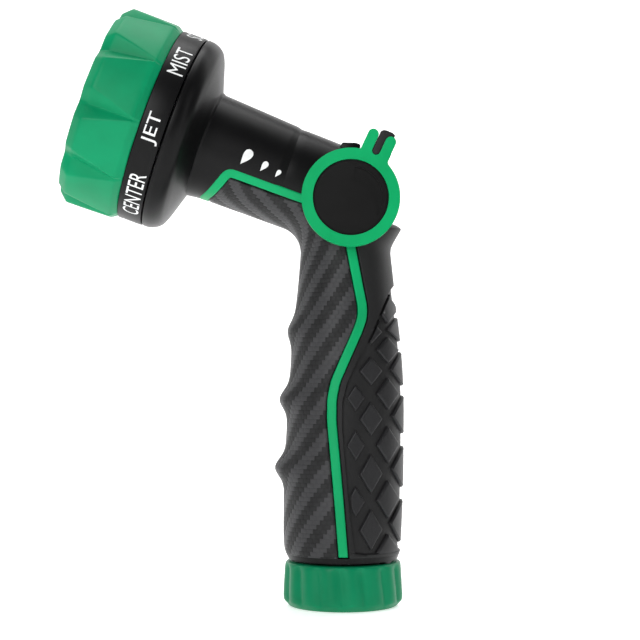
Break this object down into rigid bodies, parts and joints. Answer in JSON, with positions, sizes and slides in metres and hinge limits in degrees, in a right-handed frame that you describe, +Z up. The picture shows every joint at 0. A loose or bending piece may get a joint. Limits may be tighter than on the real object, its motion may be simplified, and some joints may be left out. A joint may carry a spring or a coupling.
{
  "type": "hose spray nozzle",
  "caption": "Pistol-style garden hose nozzle with a thumb lever valve, a turning spray-pattern head and a swivelling hose coupling.",
  "frame": {"origin": "centre of the hose coupling's open mouth", "axes": "+Z up along the handle, the spray head points towards -X and 20 degrees upwards, Y across"},
  "size_m": [0.1113, 0.067, 0.1931],
  "materials": {
    "body_plastic": "satin moulded nylon",
    "grip_rubber": "soft-touch overmould, textured",
    "palm_rubber": "soft-touch overmould, diamond pattern",
    "green_trim": "satin",
    "dial_rubber": "soft-touch, satin",
    "bezel_plastic": "satin with printed white words",
    "face_plastic": "satin",
    "cap_plastic": "semi-gloss",
    "lever_plastic": "satin",
    "bar_rubber": "ribbed soft-touch",
    "nut_plastic": "satin, fluted",
    "washer_rubber": "smooth",
    "seal_rubber": "smooth",
    "inner_plastic": "natural acetal",
    "plug_plastic": "natural acetal",
    "screw_steel": "stainless",
    "spring_steel": "stainless wire"
  },
  "bodies": {
    "handle_body": {"body_shell": "body_plastic", "front_grip": "grip_rubber", "rear_grip": "palm_rubber", "near_handle_trim": "green_trim", "far_handle_trim": "green_trim", "neck_trim": "green_trim", "inlet_spigot": "inner_plastic", "spigot_o_ring": "seal_rubber", "valve_inlet_seal": "seal_rubber", "valve_outlet_seal": "seal_rubber", "far_bonnet": "inner_plastic", "near_bonnet": "inner_plastic", "far_bonnet_o_ring": "seal_rubber", "near_bonnet_o_ring": "seal_rubber", "far_spindle_o_ring": "seal_rubber", "near_spindle_o_ring": "seal_rubber", "head_manifold": "inner_plastic", "manifold_o_ring": "seal_rubber", "manifold_screw_1": "screw_steel", "manifold_screw_2": "screw_steel", "manifold_screw_3": "screw_steel", "port_seal": "seal_rubber", "port_spring": "spring_steel", "turret_washer": "screw_steel", "turret_screw": "screw_steel", "detent_spring": "spring_steel"},
    "turret": {"turret_core": "inner_plastic", "pattern_bezel": "bezel_plastic", "dial_grip": "dial_rubber", "spray_face": "face_plastic", "center_cap": "cap_plastic"},
    "thumb_lever": {"valve_plug": "plug_plastic", "far_lever_disc": "lever_plastic", "near_lever_disc": "lever_plastic", "far_lever_cap": "cap_plastic", "near_lever_cap": "cap_plastic", "far_lever_screw": "screw_steel", "near_lever_screw": "screw_steel", "thumb_bar": "bar_rubber"},
    "coupling": {"coupling_nut": "nut_plastic", "hose_washer": "washer_rubber"},
    "detent": {"detent_plunger": "inner_plastic"}
  },
  "joints": [
    {"name": "dial_turn", "type": "hinge", "parent": "handle_body", "child": "turret", "pos_m": [-0.06776, 0, 0.15806], "axis": [-0.9397, 0, 0.342], "continuous": true},
    {"name": "lever_swing", "type": "hinge", "parent": "handle_body", "child": "thumb_lever", "pos_m": [0.0022, 0, 0.131], "axis": [0, 1, 0], "range_deg": [0, 72]},
    {"name": "coupling_swivel", "type": "hinge", "parent": "handle_body", "child": "coupling", "pos_m": [0, 0, 0.007], "axis": [0, 0, 1], "continuous": true},
    {"name": "detent_click", "type": "slide", "parent": "handle_body", "child": "detent", "axis": [-0.9397, 0, 0.342], "range_m": [0, 0.0008], "stiffness_N_per_m": 60, "deforming": ["detent_spring"]}
  ]
}
